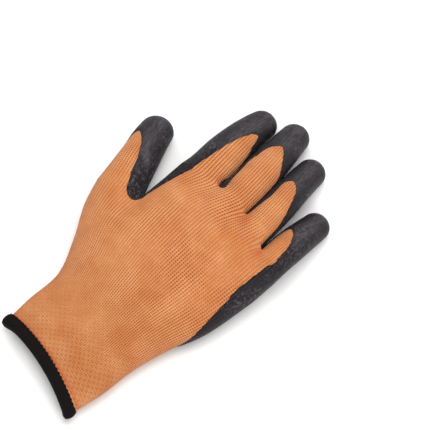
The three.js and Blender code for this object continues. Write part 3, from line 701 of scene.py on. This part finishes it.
# A slow noise varies how dark the painted shade in the furrows is
furrow_shade_contrast = make("ShaderNodeTexNoise", {"Vector": place, "Scale": 32.0, "Detail": 2.0})
furrow_shade_contrast = remap(make, furrow_shade_contrast, start=0.38, end=0.6, low=0.6, high=1.08)
yarn = mix_colours(make, remap(make, cloud, start=0.35, end=0.65), YARN, YARN_LIGHT)
yarn = mix_colours(make, math(make, "MULTIPLY", loops.outputs["Loop"], 0.35), yarn, YARN)
# Painted shade, darker and redder, in the crotches and at the foot of the binding
yarn = mix_colours(make, math(make, "MULTIPLY", point_value(make, "crevice_shade"), 0.8), yarn, SHADED_YARN)
# The furrows and the cuff's pits are darkened with painted shade
yarn = mix_colours(make, math(make, "MULTIPLY", loops.outputs["Furrow"], furrow_shade_contrast), yarn, FURROW_SHADE)
relief = make("ShaderNodeBump", {"Strength": 0.8, "Distance": 0.0006, "Height": loops.outputs["Height"]})
set_shader(knit, {
    "Base Color": yarn, "Roughness": 0.72, "Specular IOR Level": 0.15,
    "Sheen Weight": 0.06, "Sheen Roughness": 0.5, "Normal": relief,
})
liner.data.materials.append(knit)
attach(liner, "root")
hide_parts("knit_liner")

# Latex coating: the liner, on a former, is dipped palm first into black latex, which soaks into the
# stitches and cures to a film. It covers the palm, thumb, fingers and tips and ends ragged on the knit.

# One run of rows for each finger, the thumb last. A row is a share of its length and the two angles round
# it, in degrees from the middle of its back, between which the knit stays bare there.
AT, LEFT, RIGHT = 0, 1, 2
BARE_BACKS = [
    [(0, -36, 74), (0.09, -30, 73), (0.175, -24, 80), (0.225, -20, 84), (0.29, -15, 87), (0.33, -12, 84),
     (0.405, -7, 80), (0.478, -1, 76), (0.552, 7, 71), (0.62, 15, 62), (0.698, 26, 56), (0.735, 35, 53),
     (0.757, 46, 49)],
    [(0, -52, 88), (0.085, -56, 84), (0.152, -57, 82), (0.233, -60, 81), (0.305, -60, 81), (0.39, -65, 79),
     (0.453, -59, 74), (0.492, -48, 62), (0.54, -49, 49), (0.593, -42, 35), (0.638, -28, 25),
     (0.677, -12, 13), (0.69, 0, 6)],
    [(0, -78, 84), (0.09, -73, 79), (0.145, -64, 75), (0.188, -57, 69), (0.263, -48, 59), (0.323, -40, 51),
     (0.398, -37, 42), (0.497, -41, 31), (0.57, -41, 18), (0.603, -31, 4), (0.617, -14, -8)],
    [(0, -80, 26), (0.13, -77, 20), (0.2, -76, 18), (0.305, -70, 12), (0.405, -69, -3), (0.48, -64, -15),
     (0.52, -56, -30), (0.545, -47, -43)],
    [(0, -125, 30), (0.07, -122, 25), (0.163, -118, 20), (0.24, -115, 15), (0.33, -110, 11), (0.4, -104, 10),
     (0.47, -98, 7), (0.51, -95, 2), (0.59, -90, -4), (0.655, -84, -11), (0.72, -74, -22),
     (0.775, -57, -36), (0.79, -48, -45)],
]
# Past its last row the bare stretch closes by so many degrees for each finger length, and for each dome
TIP_CLOSING = 300
DOME_CLOSING = 200
ROOT_BLEND = 0.06  # share of a finger over which its rule takes over from the hand's

# Rows of a share of the glove's length and the heights of the dip line there, on the little finger's and
# on the thumb's side of the hand, as shares of the knuckle height
HAND_EDGES = np.array([
    (0.3, 0.22, 0.16), (0.36, 0.44, 0.17), (0.395, 0.547, 0.18), (0.432, 0.616, 0.2), (0.468, 0.673, 0.23),
    (0.512, 0.75, 0.26), (0.53, 0.777, 0.56), (0.56, 0.788, 0.656), (0.587, 0.805, 0.729),
    (0.615, 0.815, 0.791), (0.642, 0.82, 0.853), (0.67, 0.81, 0.925), (0.7, 0.81, 0.935),
])
THUMB_SIDE = (-0.21 * HAND_WIDTH, -0.12 * HAND_WIDTH)
LITTLE_SIDE = (0.36 * HAND_WIDTH, 0.52 * HAND_WIDTH)
CROTCH_LINE = 0.66  # height of the dip line between the two sides

# A lobe of latex reaches onto the back of the hand at the thumb's crotch, and a drop has run into each of
# the others, from the index finger's on: how far it shows round its middle, which lies DROP_SHIFT times
# that reach from the crotch. WEB_DEPTH: how far the middles of the webs lie inside the latex at least.
LOBE_REACH = 0.076 * HAND_WIDTH
LOBE_CENTRE = skin[web_ids[-1][0]] + np.array([-4.1, 1.0, 0.0])
CROTCH_DROPS = (2.5, 0.8, 1.3)
DROP_SHIFT = (0.6, 0.1)
WEB_DEPTH = 1.5


def hand_depth(points):
    """How far points of the hand lie inside the latex: the lesser of how far below the dip line of their side
    and how far beyond the heel line, or how far within the lobe's reach if that is more."""
    along = np.minimum(points[:, 1] / GLOVE_LENGTH, HAND_EDGES[-1, AT])
    thumb_share = 1 - smoothstep(points[:, 0], *THUMB_SIDE)
    little_share = smoothstep(points[:, 0], *LITTLE_SIDE)
    little_line, thumb_line = (np.interp(along, HAND_EDGES[:, AT], HAND_EDGES[:, side]) for side in (1, 2))
    middle_share = 1 - thumb_share - little_share
    line = thumb_share * thumb_line + little_share * little_line + middle_share * CROTCH_LINE
    depth = np.minimum(line * KNUCKLE_HEIGHT - points[:, 2], points[:, 1] - HEEL)
    return np.maximum(depth, LOBE_REACH - np.linalg.norm(points - LOBE_CENTRE, axis=1))


def finger_depth(number, points, t, past):
    """How far points of a finger lie inside the latex: the angle past the bare stretch times the mean radius,
    blended near the root with the hand's rule."""
    finger, rows = FINGERS[number], BARE_BACKS[number]
    centre, _, across, up = finger_axis(finger, t)
    half, deep = finger_size(finger, t)
    away = points - centre
    angle = np.degrees(np.arctan2((away * across).sum(-1), (away * up).sum(-1)))
    last = rows[-1][AT]
    closing = np.maximum(t - last, 0) * TIP_CLOSING + past * DOME_CLOSING
    left = read_table(rows, np.minimum(t, last), LEFT, AT) + closing
    right = read_table(rows, np.minimum(t, last), RIGHT, AT) - closing
    turn = (angle - (left + right) / 2 + 180) % 360 - 180
    depth = np.radians(np.abs(turn) - (right - left) / 2) * (half + deep) / 2
    return depth + (hand_depth(points) - depth) * (1 - smoothstep(t, 0, ROOT_BLEND))


# depth: how far inside the latex. ridge: 1 along the middle of a finger's back, on faces that look up, where
# a painted highlight runs, exp(-((s - 0.1) / 0.4)^2) with s the sideways part of its normal.
RIDGE_MIDDLE = 0.1
RIDGE_WIDTH = 0.4
depth = hand_depth(skin)
ridge_highlight = np.zeros(len(skin))
for number, tube in enumerate(finger_tubes):
    columns = tube["ids"].shape[1]
    ids = tube["ids"][1:].reshape(-1)
    t, past = np.repeat(tube["t"][1:], columns), np.repeat(tube["past"][1:], columns)
    _, _, across, up = finger_axis(FINGERS[number], t)
    sideways, upward = ((normals[ids] * way).sum(1) for way in (across, up))
    on_top = smoothstep(upward, 0.3, 0.8) * smoothstep(t, 0.2, 0.45)
    ridge_highlight[ids] = np.exp(-((sideways - RIDGE_MIDDLE) / RIDGE_WIDTH) ** 2) * on_top
    depth[ids] = finger_depth(number, skin[ids], t, past)
for ids in web_ids:
    web_middle = ids[SEAM_STEPS - 2 : SEAM_STEPS + 3]
    depth[web_middle] = np.maximum(depth[web_middle], WEB_DEPTH)
for crotch, reach in zip(crotch_ids, CROTCH_DROPS):
    drop = skin[crotch, :2] + np.array(DROP_SHIFT) * reach
    depth = np.maximum(depth, reach - np.linalg.norm(skin[:, :2] - drop, axis=1))
for _ in range(2):
    depth = (depth + skin_mean(depth[:, None])[:, 0]) / 2

# The edge of the film steps from loop to loop of the knit: each loop draws a number between 0 and 1, the
# fraction of a large sine of its wale and course, and the legs of the loops add a small wave
LOOP_STEP = 0.36
LEG_WAVE = 0.1
corner_wale = np.zeros(len(skin))
corner_course = np.zeros(len(skin))
corner_wale[skin_faces[:, 0]] = skin_uv[:, 0, 0]
corner_course[skin_faces[:, 0]] = skin_uv[:, 0, 1]
loop_chance = np.sin(np.floor(corner_wale) * 12.9898 + np.floor(corner_course) * 78.233) * 43758.5453
loop_chance = loop_chance - np.floor(loop_chance)
ragged = depth + LOOP_STEP * (loop_chance - 0.5) + LEG_WAVE * np.cos(2 * np.pi * corner_wale)


def clip_skin(level):
    """The part of the skin where level is above nought: whole triangles, and those that the line crosses cut
    along it. Returns for each point its two parent points and the share between them, the triangles, their
    UVs and the cut edges."""
    faces = np.concatenate([skin_faces[:, [0, 1, 2]], skin_faces[:, [0, 2, 3]]])
    uv = np.concatenate([skin_uv[:, [0, 1, 2]], skin_uv[:, [0, 2, 3]]])
    inside = level[faces] > 0
    count = inside.sum(1)
    parents = [np.repeat(np.arange(len(level))[:, None], 2, 1)]
    shares = [np.zeros(len(level))]
    made, made_uv, rim = [faces[count == 3]], [uv[count == 3]], []
    total = len(level)
    for inner_count in (1, 2):
        odd = np.argmax(inside == (inner_count == 1), axis=1)
        rows = np.flatnonzero(count == inner_count)
        order = (odd[rows, None] + np.arange(3)) % 3
        a, b, c = np.take_along_axis(faces[rows], order, 1).T
        ua, ub, uc = np.moveaxis(np.take_along_axis(uv[rows], order[..., None], 1), 1, 0)
        tb, tc = level[a] / (level[a] - level[b]), level[a] / (level[a] - level[c])
        ab, ac = total + np.arange(len(rows)), total + len(rows) + np.arange(len(rows))
        parents += [np.stack([a, b], 1), np.stack([a, c], 1)]
        shares += [tb, tc]
        total += 2 * len(rows)
        uab, uac = ua + (ub - ua) * tb[:, None], ua + (uc - ua) * tc[:, None]
        if inner_count == 1:
            made.append(np.stack([a, ab, ac], 1))
            made_uv.append(np.stack([ua, uab, uac], 1))
            rim.append(np.stack([ab, ac], 1))
        else:
            made += [np.stack([ab, b, c], 1), np.stack([ab, c, ac], 1)]
            made_uv += [np.stack([uab, ub, uc], 1), np.stack([uab, uc, uac], 1)]
            rim.append(np.stack([ac, ab], 1))
    return tuple(np.concatenate(part) for part in (parents, shares, made, made_uv, rim))


parents, shares, coat_faces, coat_uv, rim = clip_skin(ragged)


def on_coat(values):
    """Values of the skin's points carried to the points of the coating: first + (second - first) * share."""
    first, second = values[parents[:, 0]], values[parents[:, 1]]
    return first + (second - first) * (shares[:, None] if values.ndim == 2 else shares)


# The film is crinkled under the hand, and on the inner side of the thumb down to its crotch, and there it
# gets a lighter speckle of painted highlight as well as a bump
INNER_SHAPE = (1.0, 0.6, 0.6)
INNER_REACH = 0.21 * HAND_WIDTH
underside = np.clip(-0.1 - normals[:, 2] * 1.4, 0, 1)
inner = np.exp(-((np.linalg.norm((skin - LOBE_CENTRE) * INNER_SHAPE, axis=1) / INNER_REACH) ** 2))
crinkle_and_highlight = np.maximum(on_coat(underside), on_coat(inner))

# It stands EDGE_HEIGHT high at its edge and rises to COAT_HEIGHT as 1 - exp(-depth / EDGE_TAPER)
EDGE_HEIGHT = 0.16
EDGE_TAPER = 1.3
FILM_CLEARANCE = 0.03
coat_base, coat_normal, coat_depth = on_coat(skin), on_coat(normals), np.maximum(on_coat(ragged), 0)
thickness = EDGE_HEIGHT + (COAT_HEIGHT - EDGE_HEIGHT) * (1 - np.exp(-coat_depth / EDGE_TAPER))

# Points in the same place made one, points without a face left out, and faces without an area too
keys, first, places = np.unique(np.round(coat_base, 5), axis=0, return_index=True, return_inverse=True)
places = places.reshape(-1)
coat_faces, rim = places[coat_faces], places[rim]
used = np.unique(coat_faces)
lookup = np.full(len(keys), -1)
lookup[used] = np.arange(len(used))
coat_faces, rim, chosen = lookup[coat_faces], lookup[rim], first[used]
sound = (coat_faces != np.roll(coat_faces, 1, axis=1)).all(1)
coat_faces, coat_uv = coat_faces[sound], coat_uv[sound]
rim = rim[rim[:, 0] != rim[:, 1]]
count = len(chosen)
top_points = coat_base[chosen] + coat_normal[chosen] * thickness[chosen, None]
low_points = coat_base[chosen] + coat_normal[chosen] * FILM_CLEARANCE
rim_faces = np.concatenate([
    np.stack([rim[:, 1], rim[:, 0], rim[:, 0] + count], 1),
    np.stack([rim[:, 1], rim[:, 0] + count, rim[:, 1] + count], 1),
])
coat_marks = {"crinkle_highlight": crinkle_and_highlight, "depth": coat_depth, "ridge_highlight": on_coat(ridge_highlight)}
coat = add_piece(
    "latex_coating_looks",
    np.concatenate([top_points, low_points]),
    np.concatenate([coat_faces, coat_faces[:, ::-1] + count, rim_faces]),
    np.concatenate([coat_uv, coat_uv[:, ::-1], np.zeros((len(rim_faces), 3, 2))]),
    {mark: np.tile(values[chosen], 2) for mark, values in coat_marks.items()},
)
coat.data.set_sharp_from_angle(angle=np.radians(62))

LATEX = (0.0175, 0.0145, 0.017, 1)
# The next colour is a painted highlight for the crinkles
LATEX_CRINKLE_HIGHLIGHT = (0.118, 0.104, 0.114, 1)
# The next colour is a painted highlight along the backs of the fingers
LATEX_RIDGE_HIGHLIGHT = (0.085, 0.078, 0.086, 1)
# The next colour is painted shade for the furrows of the knit under the film
LATEX_FURROW_SHADE = (0.004, 0.0034, 0.0038, 1)
latex = bpy.data.materials.new("black_latex")
latex.use_nodes = True
make = node_maker(latex.node_tree)
place = object_place(make)
stitches = make("ShaderNodeUVMap", uv_map="stitches")
loops = make("ShaderNodeGroup", {"Stitches": stitches, "Gathered": 0.0}, node_tree=knitted_loops).node

# The knit prints through where the film is thin, within 3.6 mm of its edge: a dent in the bump, and painted
# shade in its furrows
thin = remap(make, point_value(make, "depth"), start=0.0, end=3.6, low=1.0, high=0.0)
print_through = math(make, "MULTIPLY", loops.outputs["Furrow"], thin)

# The crinkle is fine grain, everywhere under the hand and in patches elsewhere: a bump, and a lighter speckle
# of painted highlight
grain = make("ShaderNodeTexNoise", {
    "Vector": place, "Scale": 560.0, "Detail": 5.0, "Roughness": 0.72, "Distortion": 0.9,
})
patches = make("ShaderNodeTexNoise", {"Vector": place, "Scale": 60.0, "Detail": 2.0})
patches = remap(make, patches, start=0.46, end=0.64, low=0.12, high=0.75)
amount = math(make, "MAXIMUM", point_value(make, "crinkle_highlight"), patches)
highlight_speckle = math(make, "MULTIPLY", remap(make, grain, start=0.48, end=0.66, smooth=True), amount)

# Along the backs of the fingers the film gets a greyer painted highlight, in fine lines that run with the
# knit
lines = make("ShaderNodeVectorMath", (stitches, (0.9, 0.16, 1.0)), operation="MULTIPLY")
lines = make("ShaderNodeTexNoise", {"Vector": lines, "Scale": 1.0, "Detail": 3.0, "Roughness": 0.65})
lines = remap(make, lines, start=0.4, end=0.66, low=0.25)
lines = math(make, "MULTIPLY", lines, point_value(make, "ridge_highlight"))
# A lighter speckle of painted highlight on the crinkles
tone = mix_colours(make, highlight_speckle, LATEX, LATEX_CRINKLE_HIGHLIGHT)
# Painted shade in the furrows that print through
tone = mix_colours(make, math(make, "MULTIPLY", print_through, 0.6), tone, LATEX_FURROW_SHADE)
# A greyer painted highlight in streaks along the finger backs
tone = mix_colours(make, math(make, "MULTIPLY", lines, 0.8), tone, LATEX_RIDGE_HIGHLIGHT)
height = math(make, "MULTIPLY", grain, amount)
height = math(make, "SUBTRACT", height, math(make, "MULTIPLY", print_through, 0.5))
relief = make("ShaderNodeBump", {"Strength": 1.0, "Distance": 0.0012, "Height": height})
set_shader(latex, {"Base Color": tone, "Roughness": 0.48, "Specular IOR Level": 0.1, "Normal": relief})
coat.data.materials.append(latex)
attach(coat, "root")
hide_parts("latex_coating")

# Cuff binding: the cut end of the cuff is overlocked with black thread, which wraps it in a soft
# rounded roll, outside and inside, with the loops of the thread biting into the knit along its edge.
BINDING_COLUMNS = 920
THREAD_COLUMNS = 4  # points of the roll from one turn of the thread to the next
TEETH = 56  # stitches of the overlock round the cuff
TOOTH_LENGTH = 0.6
THREAD_LENGTH = 0.15  # how far one turn of the thread reaches past the next
THREAD_HEIGHT = 0.14
THREAD_DARK = (0.003, 0.0022, 0.0022, 1)
THREAD_LIGHT = (0.011, 0.008, 0.008, 1)
# Section of the roll: how far it reaches in over the knit, how far it stands off the knit's face, and how
# much the thread shows there
ROLL_SECTION = np.array([
    (6.5, 0.05, 0.1), (6.3, 1.0, 0.8), (5.1, 1.75, 1), (3.1, 2.15, 1), (1.1, 1.95, 1), (-0.5, 1.1, 0.9),
    (-0.95, -0.8, 0.8), (-0.4, -2.6, 0.9), (1.2, -3.6, 1), (3.3, -3.7, 1), (5.4, -3.2, 0.8), (6.1, -2.0, 0.1),
    (5.4, -1.75, 0), (2.8, -1.7, 0), (0.3, -1.65, 0), (0.25, 0.02, 0), (2.8, 0.03, 0), (5.4, 0.04, 0),
])
TEETH_BEYOND = 5.5  # the teeth show on the parts of the section that reach in further than this
roll_reach, roll_rise, roll_thread = ROLL_SECTION.T


def around_hem(values):
    """A direction or place for each point of the hem, read at even steps round it for the roll's columns."""
    closed = np.concatenate([values, values[:1]])
    around = np.arange(BINDING_COLUMNS) / BINDING_COLUMNS * len(values)
    return np.stack([np.interp(around, np.arange(len(closed)), closed[:, k]) for k in range(3)], 1)


base = around_hem(skin[hem_ids])
inward = around_hem(skin[wrist_tube["ids"][5]] - skin[hem_ids])
inward /= np.linalg.norm(inward, axis=1, keepdims=True)
outward = around_hem(normals[wrist_tube["ids"][2]])
outward -= inward * (outward * inward).sum(1, keepdims=True)
outward /= np.linalg.norm(outward, axis=1, keepdims=True)
column = np.arange(BINDING_COLUMNS)[:, None]
thread = np.cos(2 * np.pi * column / THREAD_COLUMNS)
tooth = np.abs(np.cos(np.pi * TEETH * column / BINDING_COLUMNS))
teeth = (THREAD_LENGTH * thread + TOOTH_LENGTH * tooth - TOOTH_LENGTH / 2) * (roll_reach > TEETH_BEYOND)
reach = roll_reach + teeth
rise = roll_rise + THREAD_HEIGHT * thread * roll_thread * np.sign(roll_rise)
band = base[:, None] + inward[:, None] * reach[..., None] + outward[:, None] * rise[..., None]
band_ids = np.arange(band.shape[0] * band.shape[1]).reshape(band.shape[:2])
band_beside = np.roll(band_ids, -1, 1)
band_faces = np.stack([band_ids, band_beside, np.roll(band_beside, -1, 0), np.roll(band_ids, -1, 0)], -1)
binding = add_piece("cuff_binding_looks", band.reshape(-1, 3), band_faces.reshape(-1, 4))

black_thread = bpy.data.materials.new("black_thread")
black_thread.use_nodes = True
make = node_maker(black_thread.node_tree)
fuzz = make("ShaderNodeTexNoise", {"Vector": object_place(make), "Scale": 1500.0, "Detail": 3.0})
tone = mix_colours(make, fuzz, THREAD_DARK, THREAD_LIGHT)
relief = make("ShaderNodeBump", {"Strength": 0.6, "Distance": 0.0003, "Height": fuzz})
set_shader(black_thread, {
    "Base Color": tone, "Roughness": 0.85, "Specular IOR Level": 0.08, "Sheen Weight": 0.01, "Normal": relief,
})
binding.data.materials.append(black_thread)
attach(binding, "root")
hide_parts("cuff_binding")

as_numbers = lambda box: [[float(value) for value in corner] for corner in box]
{"solids": as_numbers(solid_box), "looks": as_numbers(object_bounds())}
